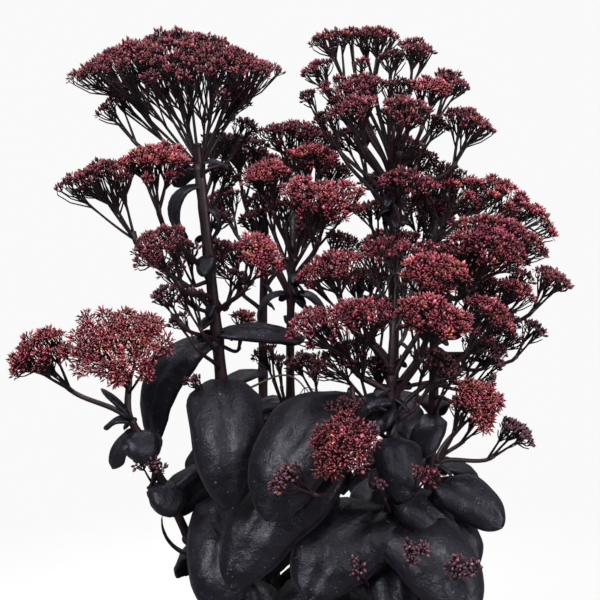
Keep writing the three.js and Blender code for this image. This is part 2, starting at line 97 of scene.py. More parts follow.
# Heads: the stem and where on it the branch leaves, the top of the head, its width and depth, how far it
# leans towards +X and +Y, the kind of head, and the foot of its rays where that isn't straight below the top.
HEADS = [
    ("left", 1, (-101, -15, 614), 134, 88, (-0.03, 0), "dusty", (-88, -19, 545)),
    ("left", 0.76, (-148, -44, 538), 54, 36, (-0.12, 0.05), "dusty", (-127, -40, 492)),
    ("left", 0.8, (-107, -80, 551), 44, 34, (0, -0.2), "bright"),
    ("left", 0.78, (-109, -90, 499), 40, 38, (-0.4, -0.4), "dusty"),
    ("left", 0.76, (-45, -68, 490), 34, 34, (0.35, -0.5), "bright"),
    ("left", 0.72, (-58, -14, 436), 20, 18, (0.2, -0.2), "bright"),
    ("middle", 1, (-20, 58, 556), 64, 48, (0.15, 0.2), "dusty"),
    ("middle", 0.9, (-66, 42, 547), 44, 40, (-0.1, 0.2), "bud"),
    ("middle", 0.98, (-47, -10, 533), 34, 32, (-0.2, -0.2), "bright"),
    ("middle", 0.96, (-13, 6, 543), 37, 30, (0.1, 0), "bright"),
    ("middle", 0.93, (-7, -42, 525), 58, 34, (0.1, -0.5), "bright"),
    ("tall", 0.97, (-5, 2, 617), 28, 24, (-0.3, 0), "dusty"),
    ("tall", 1, (25, 16, 621), 35, 30, (0, 0.1), "dusty"),
    ("tall", 1, (52, -6, 611), 29, 24, (0.15, 0), "dusty"),
    ("tall", 0.95, (-15, 18, 597), 24, 20, (-0.5, 0), "dusty"),
    ("tall", 0.96, (9, -28, 588), 47, 24, (-0.1, -0.3), "dusty"),
    ("tall", 0.94, (7, -58, 576), 33, 28, (-0.3, -0.4), "dusty"),
    ("tall", 0.98, (41, -56, 574), 35, 30, (0.1, -0.4), "dusty"),
    ("tall", 0.98, (60, -26, 586), 28, 24, (0.2, -0.2), "bright"),
    ("tall", 0.97, (79, 12, 590), 29, 24, (0.4, 0.1), "dusty"),
    ("tall", 0.95, (87, -10, 567), 38, 28, (0.3, 0), "dusty"),
    ("tall", 0.95, (42, -46, 532), 42, 26, (0, -0.4), "dusty"),
    ("right", 1, (109, 15, 521), 107, 44, (0.36, 0.16), "bright", (71, 5, 486)),
    ("right", 0.94, (109, -31, 498), 66, 30, (0.38, -0.2), "rosy"),
    ("right", 0.9, (93, -66, 496), 54, 34, (0.3, -0.4), "rosy"),
    ("right", 0.86, (114, -52, 464), 27, 24, (0.4, -0.3), "rosy"),
    ("right", 0.82, (144, -22, 467), 29, 28, (0.5, -0.1), "dusty"),
    ("right", 0.8, (135, -12, 428), 20, 18, (0.6, 0), "bud"),
    ("front", 1, (46, -32, 487), 80, 28, (0.05, 0), "rosy", (36, -50, 442)),
    ("front", 0.99, (-9, -60, 484), 46, 36, (-0.3, -0.1), "rosy"),
    ("front", 0.97, (58, -78, 484), 46, 34, (0.1, -0.3), "bright"),
    ("front", 0.95, (-4, -98, 459), 66, 36, (-0.3, -0.4), "rosy"),
    ("front", 0.93, (56, -110, 462), 50, 32, (0.2, -0.5), "bright"),
    ("front", 0.9, (95, -78, 456), 34, 34, (0.5, -0.2), "rosy"),
    ("low_right", 1, (89, -84, 404), 37, 30, (0.4, -0.6), "open"),
    ("low_right", 0.98, (115, -76, 380), 28, 24, (0.7, -0.3), "bud"),
    ("short", 0.95, (-3, -139, 392), 42, 44, (-0.5, -1), "deep", (18, -117, 370)),
    ("short", 0.8, (-36, -142, 371), 24, 22, (-1.2, -0.8), "bud"),
    ("front", 0.62, (43, -134, 324), 18, 16, (0, -1.2), "bud"),
    ("front", 0.55, (69, -141, 317), 23, 18, (0, -1.2), "bud"),
    ("low_left", 0.98, (-192, -60, 428), 49, 36, (-0.6, -0.4), "open"),
    ("low_left", 1, (-131, -96, 441), 69, 60, (-0.05, -1), "open"),
    ("back_left", 1, (-45, 95, 532), 54, 46, (0.1, 0.2), "dusty"),
    ("back_left", 0.82, (-82, 92, 464), 40, 36, (-0.4, 0.2), "dusty"),
    ("back_left", 0.86, (-12, 122, 492), 44, 40, (0.4, 0.5), "dusty"),
    ("back_right", 1, (78, 88, 496), 54, 46, (0.4, 0.1), "dusty"),
    ("back_right", 0.85, (108, 70, 446), 42, 38, (0.6, 0), "dusty"),
    ("back_right", 0.8, (66, 126, 420), 40, 34, (0.3, 0.8), "dusty"),
]

# Side shoots: small heads which have no solids of their own, with florets darkened as painted shade unless
# the row gives another kind.
SPRAYS = [
    ("left", 0.72, (-109, -70, 465), 22, 16, (-0.5, -0.2), "bud"),
    ("left", 0.76, (-104, -56, 478), 20, 16, (-0.4, -0.1)),
    ("left", 0.7, (-95, -52, 459), 20, 16, (-0.4, 0.1), "bud"),
    ("left", 0.68, (-101, -60, 446), 16, 14, (-0.6, 0), "bud"),
    ("left", 0.6, (-92, -62, 405), 14, 12, (-0.7, -0.2), "bud"),
    ("left", 0.84, (-75, -8, 484), 22, 18, (0.2, 0.3), "dusty"),
    ("left", 0.86, (-71, 0, 502), 20, 16, (0.5, 0.2), "bud"),
    ("left", 0.92, (-72, 22, 551), 34, 30, (0.3, 0.5)),
    ("left", 0.9, (-70, 8, 530), 28, 24, (0.4, 0.2)),
    ("left", 0.97, (-144, -18, 573), 24, 18, (-0.6, 0)),
    ("left", 0.98, (-60, -10, 580), 26, 20, (0.6, 0)),
    ("left", 0.97, (-55, 8, 560), 20, 18, (0.5, 0.1)),
    ("left", 0.82, (-98, -34, 486), 24, 20, (-0.2, 0)),
    ("left", 0.8, (-60, -6, 464), 24, 20, (0.4, 0.1)),
    ("low_left", 0.84, (-116, -78, 357), 24, 14, (0.1, -0.6), "bud"),
    ("middle", 0.94, (-50, 20, 514), 30, 24, (-0.3, 0.1)),
    ("middle", 0.9, (-58, 14, 500), 26, 22, (-0.4, 0.1)),
    ("middle", 0.92, (-21, 6, 492), 16, 14, (0.2, 0)),
    ("middle", 0.97, (-38, 8, 509), 22, 18, (-0.2, 0.1), "dusty"),
    ("middle", 0.96, (-8, 4, 504), 30, 24, (0.4, 0)),
    ("middle", 0.97, (4, 18, 532), 28, 22, (0.4, 0.1)),
    ("middle", 0.94, (8, -6, 486), 30, 22, (0.5, 0)),
    ("middle", 0.66, (-49, 6, 410), 22, 16, (-0.3, 0)),
    ("middle", 0.7, (-38, 2, 404), 14, 12, (-0.1, 0), "bud"),
    ("tall", 0.99, (17, -4, 590), 20, 16, (0, 0)),
    ("tall", 0.97, (40, -10, 586), 24, 18, (0.1, 0)),
    ("tall", 0.93, (68, 0, 562), 20, 18, (0.5, 0)),
    ("tall", 0.92, (-8, 2, 566), 22, 18, (-0.4, 0)),
    ("tall", 0.92, (48, -8, 551), 24, 20, (0.3, 0)),
    ("tall", 0.93, (-19, 4, 579), 14, 14, (-0.4, 0)),
    ("tall", 1, (9, 8, 619), 12, 10, (-0.1, 0), "dusty"),
    ("tall", 0.98, (17, 2, 600), 12, 10, (0, 0), "dusty"),
    ("tall", 0.98, (38, 8, 604), 22, 18, (0.1, 0.1)),
    ("tall", 0.94, (58, 6, 543), 28, 24, (0.3, 0)),
    ("tall", 0.88, (30, 16, 524), 34, 26, (-0.1, 0.2)),
    ("tall", 0.86, (48, 4, 490), 26, 20, (0.2, 0), "dusty"),
    ("tall", 0.86, (22, 6, 508), 26, 20, (-0.2, 0)),
    ("tall", 0.9, (10, 12, 556), 34, 26, (-0.3, 0.1)),
    ("tall", 0.92, (44, 14, 570), 34, 26, (0.1, 0.2)),
    ("right", 0.98, (72, 12, 532), 30, 24, (0.1, 0.1)),
    ("right", 0.94, (66, 12, 512), 34, 26, (0.1, 0.1)),
    ("right", 0.9, (84, 0, 478), 36, 28, (0.2, 0)),
    ("right", 0.86, (117, -24, 458), 24, 20, (0.5, -0.2), "dusty"),
    ("right", 0.85, (102, -30, 462), 22, 18, (0.4, -0.2), "dusty"),
    ("right", 0.85, (122, -26, 467), 20, 16, (0.5, -0.1), "dusty"),
    ("right", 0.84, (98, -6, 446), 30, 22, (0.5, 0)),
    ("right", 0.78, (100, -38, 424), 34, 24, (0.5, -0.1)),
    ("right", 0.68, (80, -20, 408), 24, 18, (0.3, -0.1)),
    ("front", 0.95, (91, -60, 434), 24, 20, (0.5, -0.2), "dusty"),
    ("front", 0.96, (22, -40, 452), 40, 26, (-0.1, 0.1)),
    ("front", 0.95, (62, -50, 452), 34, 26, (0.3, 0.1)),
    ("front", 0.92, (-2, -80, 430), 44, 24, (-0.5, -0.1)),
    ("front", 0.9, (62, -80, 424), 36, 24, (0.4, -0.1)),
    ("front", 0.88, (26, -60, 420), 30, 22, (-0.1, 0.1)),
    ("front", 0.86, (-22, -50, 418), 30, 24, (-0.3, 0)),
    ("front", 1, (18, -20, 466), 34, 24, (0, 0), "dusty"),
    ("right", 0.8, (112, -24, 440), 28, 22, (0.6, -0.1)),
    ("right", 0.78, (116, -20, 425), 24, 20, (0.6, -0.1)),
    ("right", 0.74, (104, -50, 414), 14, 12, (0.8, -0.2), "bud"),
    ("right", 0.72, (101, -50, 402), 8, 8, (1, -0.2), "bud"),
    ("low_right", 0.97, (74, -84, 400), 18, 16, (0.1, -0.3)),
    ("low_right", 0.99, (89, -88, 390), 24, 18, (0.5, -0.6), "open"),
    ("front", 0.72, (51, -126, 367), 20, 14, (0.3, -0.9), "dusty"),
    ("front", 0.7, (22, -122, 359), 8, 8, (-0.3, -0.9), "bud"),
    ("front", 0.45, (9, -132, 313), 14, 12, (-0.3, -1.2), "bud"),
    ("short", 1, (1, -108, 404), 24, 18, (-0.2, -0.6)),
    ("short", 1, (18, -118, 392), 9, 8, (0.3, -0.6), "bud"),
    ("back_left", 0.92, (-84, 118, 500), 34, 30, (-0.4, 0.4), "dusty"),
    ("back_left", 0.9, (-20, 82, 486), 40, 32, (0.3, 0)),
    ("back_right", 0.92, (36, 112, 470), 34, 30, (-0.2, 0.4), "dusty"),
    ("back_right", 0.9, (88, 60, 462), 36, 30, (0.4, -0.1)),
]

# Leaves of each stem: where on it the leaf sits, the way it points in degrees from +X, its length and width,
# and where they aren't the usual, how steeply it starts and its tip hangs and how far its blade is rolled.
LEAVES = {
    "left": [
        (0.67, -83, 108, 49, 32, 96), (0.5, -96, 96, 52, 24, 86), (0.58, 185, 34, 24, 10, 60, -30),
        (0.735, 192, 90, 32, 6, 108, -44), (0.745, 4, 58, 24, 20, 24, 20),
        (0.965, 188, 50, 15, 22, 150, -30), (0.93, -4, 30, 9, 20, 160, 10), (0.86, -96, 22, 14, 20, 70),
        (0.42, 140, 78, 44, 24, 80),
    ],
    "middle": [
        (0.93, 186, 46, 15, 40, 130), (0.93, -8, 44, 16, 40, 120), (0.72, 182, 40, 22, 10, 30),
        (0.62, 80, 60, 34, 20, 60),
    ],
    "front": [
        (0.88, -84, 52, 32, 36, 92), (0.95, 200, 34, 16, 60, 80, -20), (0.74, 218, 80, 56, 10, 62, -45),
        (0.73, -51, 85, 52, 10, 66, 30), (0.5, -75, 84, 50, 16, 84), (0.36, -125, 66, 44),
    ],
    "low_right": [
        (0.93, -26, 50, 32, 4, 52, 45), (0.8, 4, 36, 26, 0, 60, 20), (0.6, -40, 56, 40, 10, 86, 20),
        (0.4, -35, 50, 38, 16, 84),
    ],
    "short": [
        (0.98, 226, 102, 56, 16, 84, -20), (0.84, 207, 104, 50, -4, 70, -44), (0.6, -115, 84, 50, 14, 84),
        (0.52, 180, 72, 46, 14, 80, -20),
    ],
    "low_left": [
        (0.96, -62, 26, 28, 28, 110), (0.96, 205, 30, 26, 8, 96), (1, 176, 20, 16, 30, 60),
        (0.82, -66, 26, 26, 10, 90), (0.81, 100, 26, 22, 20, 90), (0.68, -30, 30, 22, 20, 80),
    ],
    "right": [
        (0.6, 40, 64, 34, 24, 76), (0.48, -55, 56, 38, 20, 88), (0.44, 70, 80, 44, 16, 80),
        (0.72, 80, 48, 24, 30, 70),
    ],
    "tall": [
        (0.45, 110, 64, 36, 30, 70), (0.6, 20, 44, 22, 30, 60),
    ],
    "back_left": [
        (0.35, 120, 84, 48, 20, 80), (0.38, 180, 80, 46), (0.5, 90, 76, 42, 20, 80),
        (0.55, 150, 70, 38, 20, 76), (0.7, 190, 54, 28, 24, 70),
    ],
    "back_right": [
        (0.35, 80, 84, 48, 20, 80), (0.4, 5, 76, 46), (0.52, 110, 74, 40, 20, 80),
        (0.55, 45, 70, 38, 20, 76), (0.7, 20, 50, 26, 24, 70),
    ],
}

# Leaves low on the stems and inside the clump, in the same form
LOW_LEAVES = {
    "left": [
        (0.3, 130, 60, 44, 20, 80), (0.36, -70, 70, 42), (0.54, 195, 50, 24, -10, 50, -60),
        (1, 10, 22, 13, 40, 50), (1, 175, 18, 10, 40, 60),
    ],
    "low_left": [
        (0.63, 190, 38, 8, 0, -95), (1, 190, 28, 15, 75, -30), (0.8, 20, 28, 18, 62, -10),
    ],
    "middle": [
        (0.46, 210, 66, 40), (0.4, -80, 78, 46), (0.56, -60, 60, 36, 20, 76),
        (0.74, 190, 30, 14, 20, 40, -40),
    ],
    "tall": [
        (0.5, -110, 76, 46), (0.4, -60, 84, 48), (0.56, 250, 50, 30, 24, 60, 30),
        (0.64, -70, 46, 30, 24, 80),
    ],
    "front": [
        (0.78, -20, 54, 34, 0, 60, 30), (0.64, -84, 52, 34), (0.84, 190, 40, 24, 20, 70, 30),
        (0.93, 200, 30, 20, 10, 60, -40), (0.26, -60, 60, 40),
    ],
    "short": [
        (0.58, -20, 60, 40, 5, 84), (0.4, -100, 74, 46), (0.7, -60, 50, 34),
    ],
    "right": [
        (0.7, -110, 40, 26, 24, 80), (0.38, -80, 74, 44, 18, 84), (0.32, -20, 60, 38),
    ],
    "low_right": [
        (0.84, -35, 44, 30, -10, 70, 30), (0.62, -20, 56, 36, 5, 80, 20), (0.28, -60, 56, 38),
    ],
    "back_left": [
        (0.45, -100, 76, 44),
    ],
    "back_right": [
        (0.45, -90, 76, 44),
    ],
}

# Some stems have a rising turn of small leaves at their foot: which way the first one points on each stem,
# and then where each leaf sits and how long it is.
FOOT_LEAVES = {"left": 200, "middle": 60, "tall": 330, "front": 250, "right": 20, "low_right": 300,
               "short": 230, "back_left": 140, "back_right": 50}
FOOT_PLACES = [(0.12, 24), (0.17, 32), (0.22, 42), (0.27, 50)]
FOOT_LEAF = Sizes(step=137, width=0.62, rise=24, hang=70)

# A dry, pale sprig: the stem and where on it it starts, its Bezier points and the ends of its fine twigs
DRY_SPRIG = Sizes(
    stem="left", leave=0.66, radius=0.9, taper=0.4, twig=0.35, tint=(0.20, 0.135, 0.095),
    points=[(-52, -20, 378), (-36, -6, 404), (-20, -6, 381)],
    twigs=[(-24, -9, 375), (-20, -8, 373), (-16, -5, 375), (-12, -7, 379), (-17, -9, 378)],
)

# The kinds of head: the slot of their finish, how long and how far apart their florets are, the shares of
# open florets, half-open ones and buds, the share of extra domes below the rim, and the colours of a floret's
# heart, middle and tip. The dark heart is painted shade where the florets crowd, and the pale tip is partly
# the florets' own paler colour and partly a painted highlight. Colours are in linear light.
TONES = {
    "dusty": Sizes(
        slot="floret_dusty", length=3.8, pitch=3.7, forms=(0.15, 0.38, 0.47), lower=0.1,
        colours=((0.010, 0.001, 0.003), (0.106, 0.007, 0.023), (0.32, 0.09, 0.13))),
    "rosy": Sizes(
        slot="floret_dusty", length=4.0, pitch=3.7, forms=(0.25, 0.4, 0.35), lower=0.15,
        colours=((0.012, 0.001, 0.003), (0.145, 0.005, 0.025), (0.44, 0.11, 0.17))),
    "bright": Sizes(
        slot="floret_bright", length=4.5, pitch=3.7, forms=(0.4, 0.42, 0.18), lower=0.25,
        colours=((0.010, 0.001, 0.003), (0.190, 0.004, 0.025), (0.58, 0.17, 0.23))),
    "open": Sizes(
        slot="floret_bright", length=5.0, pitch=4.2, forms=(0.72, 0.25, 0.03), lower=0.2,
        colours=((0.006, 0.001, 0.002), (0.165, 0.002, 0.019), (0.74, 0.22, 0.28))),
    # The open florets' colours darkened for the short head, which the key light doesn't reach: painted shade.
    "deep": Sizes(
        slot="floret_bright", length=5.0, pitch=4.2, forms=(0.72, 0.25, 0.03), lower=0.2,
        colours=((0.004, 0.001, 0.002), (0.110, 0.001, 0.013), (0.60, 0.16, 0.21))),
    "bud": Sizes(
        slot="floret_bud", length=4.2, pitch=3.6, forms=(0.0, 0.15, 0.85), lower=0.0,
        colours=((0.008, 0.004, 0.006), (0.055, 0.013, 0.026), (0.20, 0.10, 0.14))),
    # Florets of heads that sit in shade, with their colours darkened: painted shade.
    "shade": Sizes(
        slot="floret_bud", length=3.9, pitch=4.0, forms=(0.1, 0.3, 0.6), lower=0.0,
        colours=((0.005, 0.002, 0.003), (0.045, 0.006, 0.012), (0.14, 0.05, 0.07))),
}
WARM_TINT = (0.20, 0.07, 0.024)
RAY_TINT = (0.0065, 0.0035, 0.006)
STEM_TINT = (0.013, 0.004, 0.007)
LEAF_TINT = (0.0043, 0.0038, 0.0062)
LEAF_EDGE_TINT = (0.012, 0.008, 0.013)

# Finishes by number, in the order of every plant piece's material slots
LEAF_FINISH, STEM_FINISH, FLORET_FINISH = range(3)


def unit(vectors):
    return vectors / np.linalg.norm(vectors, axis=-1, keepdims=True)


def circle(count):
    """Points of the circle of radius 1 about +Z."""
    angle = 2 * math.pi * np.arange(count) / count
    return np.stack([np.cos(angle), np.sin(angle), np.zeros(count)], axis=-1)


def aside(ways, limit):
    """An axis that keeps clear of each way: +X, or +Y where the way runs along X by more than the limit."""
    return np.where(np.abs(ways[:, :1]) < limit, (1.0, 0.0, 0.0), (0.0, 1.0, 0.0))


def add_object(name, data):
    item = bpy.data.objects.new(name, data)
    bpy.context.scene.collection.objects.link(item)
    return item


class Pile:
    """Faces that are gathered into one mesh, with a finish for each face and a tint for each point."""

    def __init__(self):
        self.points, self.tints, self.faces, self.finishes = [], [], [], []
        self.count = 0

    def add(self, points, faces, finish, tint):
        points = np.reshape(points, (-1, 3))
        self.points.append(points)
        self.tints.append(np.broadcast_to(np.reshape(tint, (-1, 3)), points.shape))
        for block in faces:
            self.faces.append(np.asarray(block) + self.count)
            self.finishes.append(np.full(len(block), finish))
        self.count += len(points)

    def build(self, name, materials):
        faces = [face for block in self.faces for face in block.tolist()]
        mesh = bpy.data.meshes.new(name)
        mesh.from_pydata(np.concatenate(self.points) * MM, [], faces, shade_flat=False)
        mesh.polygons.foreach_set("material_index", np.concatenate(self.finishes))
        tints = np.ones((self.count, 4))
        tints[:, :3] = np.concatenate(self.tints)
        mesh.color_attributes.new("tint", "FLOAT_COLOR", "POINT").data.foreach_set("color", tints.ravel())
        mesh.validate()
        for material in materials:
            mesh.materials.append(material)
        return add_object(name, mesh)


def copied(faces, copies, size):
    """The faces of copies of a form that follow one another, with this many points to a copy."""
    return (faces + np.arange(copies)[:, None, None] * size).reshape(-1, faces.shape[1])


def ring_faces(rings, sides):
    """Quads between rings of equally many points that follow each other, and a face at either end."""
    row = np.arange(sides)
    start = np.arange(rings - 1)[:, None] * sides
    after = (row + 1) % sides
    quads = np.stack([start + row, start + after, start + sides + after, start + sides + row], axis=-1)
    return quads.reshape(-1, 4), np.stack([row[::-1], (rings - 1) * sides + row])


def fan_faces(tip, first, second):
    """Triangles from one point to pairs of points."""
    return np.stack([np.full(len(first), tip), first, second], axis=-1)


def add_tubes(pile, paths, radii, sides, tint, closed=True):
    """Tubes along paths of equally many points, closed at both ends or open.

    paths is (tubes, points, 3) and radii is (tubes, points).
    """
    along = unit(np.gradient(paths, axis=1))
    helper = aside(unit(paths[:, -1] - paths[:, 0]), 0.7)[:, None, :]
    across = unit(helper - along * np.sum(helper * along, axis=-1, keepdims=True))
    rim = circle(sides)
    rim = across[:, :, None] * rim[:, :1] + np.cross(along, across)[:, :, None] * rim[:, 1:2]
    quads, ends = ring_faces(paths.shape[1], sides)
    faces = [quads, ends] if closed else [quads]
    size = paths.shape[1] * sides
    pile.add(paths[:, :, None] + rim * radii[:, :, None, None],
             [copied(block, len(paths), size) for block in faces], STEM_FINISH, tint)


def add_tube(pile, path, radius, sides, tint):
    add_tubes(pile, path[None], radius[None], sides, tint)


def bezier(a, b, c, d, t):
    t = np.asarray(t, dtype=float)[..., None]
    u = 1 - t
    return u ** 3 * a + 3 * u * u * t * b + 3 * u * t * t * c + t ** 3 * d


def stem_point(name, t):
    return bezier(*np.array(STEMS[name][0], dtype=float), t)


def stem_tangent(name, t):
    return unit(stem_point(name, t + 1e-3) - stem_point(name, t - 1e-3))


# Leaves

ARC_STEPS = 48
# From this length on, a leaf has this many rows of points along it and this many across its upper side.
LEAF_GRIDS = [(60, 27, 15), (30, 20, 11), (0, 14, 7)]
LEAF_STOP = 0.998
# Heights are shares of the leaf's width, and the crease's width is a share of half of it.
RELIEF = Sizes(crease=0.045, crease_width=0.13, bulge=0.03, wave=0.018, waves=1.7)
# How long puckers are and how high
PUCKERS = [(26, 0.8), (15, 0.42), (9, 0.2)]


def leaf_relief(draw, s, v, length, width):
    """How far a blade is raised at s along it and v across: crease, full sides, wavy edges and puckers."""
    crease = RELIEF.crease * np.exp(-((v / RELIEF.crease_width) ** 2)) * (1 - 0.75 * s) * np.minimum(1, 6 * s)
    bulge = RELIEF.bulge * np.sin(math.pi * np.abs(v)) * (1 - 0.6 * s)
    phase = 2 * math.pi * (RELIEF.waves * s + draw.random()) + 2.2 * np.sign(v)
    wave = RELIEF.wave * np.abs(v) ** 3 * np.sin(phase)
    pucker = 0
    for size, depth in PUCKERS:
        phase = draw.random(3) * 2 * math.pi
        lean = draw.uniform(-1, 1)
        x, y = 2 * math.pi * s * length / size, math.pi * v * width / size
        pucker = pucker + depth * np.sin(x + lean * y + phase[0]) * np.cos(y - 0.4 * lean * x + phase[1])
    pucker = pucker * min(1, width / LEAF.full_width) * np.minimum(1, 5 * s)
    return width * (bulge + wave - crease) + pucker


def add_leaf(pile, stem, seed, t, azimuth, length, width, rise=20, hang=84, roll=0):
    """A fleshy blade that clasps its stem, arches out and hangs, with full, rounded edges."""
    draw = np.random.default_rng(seed)

    def slope(way):
        return np.radians(rise - (rise + hang) * way ** LEAF.bend)

    stations, across = next((rows, columns) for least, rows, columns in LEAF_GRIDS if length >= least)
    stop = np.sin(np.linspace(0, math.pi / 2, stations)) * LEAF_STOP
    steps = slope((np.arange(ARC_STEPS) + 0.5) / ARC_STEPS)
    walked = np.linspace(0, 1, ARC_STEPS + 1)
    out, up = [np.interp(stop, walked, np.concatenate([[0], np.cumsum(part)]) * length / ARC_STEPS)[:, None]
               for part in (np.cos(steps), np.sin(steps))]
    here = slope(stop)[:, None]
    heading = np.array([math.cos(math.radians(azimuth)), math.sin(math.radians(azimuth)), 0])
    along = heading * np.cos(here) + UP * np.sin(here)
    level = UP * np.cos(here) - heading * np.sin(here)
    turn = (math.radians(roll) * np.minimum(1, 2.5 * stop))[:, None]
    face = level * np.cos(turn) + np.cross(along, level) * np.sin(turn)
    side = np.cross(face, along)
    centre = stem_point(stem, t) + heading * out + UP * up

    v_upper = np.linspace(1, -1, across)
    v = np.concatenate([v_upper, v_upper[-2:0:-1]])[None, :]
    surface = np.concatenate([np.ones(across), -np.ones(across - 2)])[None, :]
    s = stop[:, None]
    swell = LEAF.base + (1 - LEAF.base) * np.sin(np.minimum(1, s / LEAF.swell) * math.pi / 2)
    notch = 1 + 0.02 * np.sin(17 * s + 9 * draw.random()) * np.sign(v)
    half = (width / 2) * np.sqrt(1 - s ** LEAF.outline) * swell * notch
    curl = LEAF.curl + LEAF.curl_gain * s
    body = LEAF.thick * min(1, width / LEAF.full_width) * (1 - LEAF.thinning * s * s)
    thick = body * np.minimum(1, 0.4 + 8 * (1 - s)) * np.sqrt(1 - np.abs(v) ** LEAF.edge)
    lift = leaf_relief(draw, s, v, length, width) + surface * thick / 2 - half * (1 - np.cos(curl * v)) / curl
    slide = -LEAF.lobe * half * v * v * (1 - s) ** 3
    reach = half * np.sin(curl * v) / curl
    points = centre[:, None]
    for way, distance in [(side, reach), (face, lift), (along, slide)]:
        points = points + way[:, None] * distance[..., None]
    edge = (np.abs(v) ** 4 * np.ones_like(s))[..., None]
    shade = draw.uniform(0.75, 1.25) * (1 + 0.2 * (surface < 0))[..., None]
    tint = (np.array(LEAF_TINT) * (1 - edge) + np.array(LEAF_EDGE_TINT) * edge) * shade
    pile.add(points, ring_faces(stations, v.shape[1]), LEAF_FINISH, tint)


def leaves_of(stem):
    turn = FOOT_LEAVES.get(stem)
    foot = [
        (t, turn + FOOT_LEAF.step * step, length, FOOT_LEAF.width * length, FOOT_LEAF.rise, FOOT_LEAF.hang)
        for step, (t, length) in enumerate(FOOT_PLACES) if turn is not None
    ]
    return LEAVES.get(stem, []) + foot + LOW_LEAVES.get(stem, [])


# Stems and branches

class Head:
    """Where a head stands. Its own frame starts at the foot of the rays, with +Z the way the head faces."""

    def __init__(self, index, stem, leave, crown, wide, deep, lean, tone="shade", foot=None):
        self.stem, self.leave, self.wide, self.deep, self.tone = stem, leave, wide, deep, TONES[tone]
        self.seed = index + 1
        self.up = unit(np.array([*lean, 1.0]))
        right = unit(np.array([1.0, 0, 0]) - self.up * self.up[0])
        self.turn = np.stack([right, np.cross(self.up, right), self.up])
        self.foot = np.array(foot, dtype=float) if foot else crown - self.up * (FAN.depth * wide + FAN.stalk)
        self.top = self.turn @ (crown - self.foot)
        self.radius = BRANCH.radius + BRANCH.gain * wide
        self.dome_radius = min(DOME.radius, max(DOME.least, DOME.share * min(wide, deep)))
        area = math.pi * wide * deep / 4
        self.dome_count = max(3, round(area / (DOME.area * self.dome_radius ** 2)))
        start = stem_point(stem, leave)
        self.branch_length = np.linalg.norm(self.foot - start)
        straight = BRANCH.straight * self.branch_length
        leaving = start + stem_tangent(stem, leave) * straight
        self.branch = (start, leaving, self.foot - self.up * straight, self.foot)

    def fork(self, below):
        """A point this far below the foot, on the branch or the stem under it, in the head's own frame."""
        if below < self.branch_length:
            point = bezier(*self.branch, 1 - below / self.branch_length)
        else:
            point = stem_point(self.stem, self.leave - (below - self.branch_length) / STEM.length)
        return self.turn @ (point - self.foot)

    def world(self, points):
        return self.foot + points @ self.turn


def add_stem(pile, name, leaves, heads):
    """A stem that swells where its leaves sit, and its branches, which flare where the rays begin."""
    t = np.linspace(0, 1, STEM.steps)
    radius = STEMS[name][1] * (1 - STEM.taper * t)
    for joint, *_ in leaves:
        radius = radius * (1 + STEM.joint * np.exp(-(((t - joint) / STEM.joint_width) ** 2)))
    radius = radius * (1 + 0.03 * np.sin(t * 61 + len(name)))
    add_tube(pile, stem_point(name, t), radius, STEM.sides, STEM_TINT)
    u = np.linspace(0, 1, BRANCH.steps)
    swelling = 1 + BRANCH.flare * (1 - u + np.exp(-((1 - u) / 0.06) ** 2))
    for head in heads:
        add_tube(pile, bezier(*head.branch, u), head.radius * swelling, BRANCH.sides, STEM_TINT)


def add_dry_sprig(pile):
    """A dry side shoot that arches out between the stems and ends in a few fine twigs."""
    start = stem_point(DRY_SPRIG.stem, DRY_SPRIG.leave)
    points = np.array(DRY_SPRIG.points, dtype=float)
    t = np.linspace(0, 1, 24)
    radius = DRY_SPRIG.radius * (1 - DRY_SPRIG.taper * t)
    add_tube(pile, bezier(start, *points, t), radius, 7, DRY_SPRIG.tint)
    arch = 0.8 * np.sin(np.linspace(0, math.pi, 4))[:, None] * UP
    for twig in DRY_SPRIG.twigs:
        way = np.linspace(points[-1], twig, 4) + arch
        add_tube(pile, way, np.full(4, DRY_SPRIG.twig), 5, DRY_SPRIG.tint)


def bract(head):
    """The small leaf under a head's branch."""
    length = BRACT.length + BRACT.gain * head.wide
    way = head.foot - head.branch[0]
    azimuth = math.degrees(math.atan2(way[1], way[0])) + BRACT.turn * math.sin(3.0 * head.seed)
    roll = BRACT.roll * math.sin(head.seed)
    return head.leave - 0.01, azimuth, length, BRACT.width * length, BRACT.rise, BRACT.hang, roll


# Florets

PETAL = Sizes(root=0.1, broadest=0.64, ridge=0.1)
CARPELS = Sizes(radius=0.15, shoulder=0.28, tip=0.5)
BUD_RINGS = [(0.17, 0.28), (0.23, 0.64)]


def floret_form(tilt, half_width, has_carpels):
    """A floret of length 1 that opens towards +Z: its points, its triangles and how far out each point is.

    Its five slender petals each have a root, three points about the broadest part and a tip.
    """
    points, triangles, reach = [], [], []
    tilt = math.radians(tilt)
    for out in circle(5):
        first = len(points)
        way = math.sin(tilt) * out + math.cos(tilt) * UP
        beside = np.cross(UP, out)
        middle = PETAL.broadest * way
        edge = half_width * beside
        ridge = PETAL.ridge * np.cross(way, beside)
        points += [PETAL.root * way, middle + edge, middle - edge, middle + ridge, way]
        reach += [0, 0.5, 0.5, 0.5, 1]
        for a, b in [(1, 2), (2, 3), (3, 1)]:
            triangles += [(first, first + b, first + a), (first + 4, first + a, first + b)]
    if has_carpels:
        first = len(points)
        points += [*(CARPELS.radius * circle(5) + CARPELS.shoulder * UP), 0 * UP, CARPELS.tip * UP]
        reach += [0] * 6 + [0.35]
        for k in range(5):
            a, b = first + k, first + (k + 1) % 5
            triangles += [(first + 5, b, a), (a, b, first + 6)]
    return np.array(points), np.array(triangles), np.array(reach)


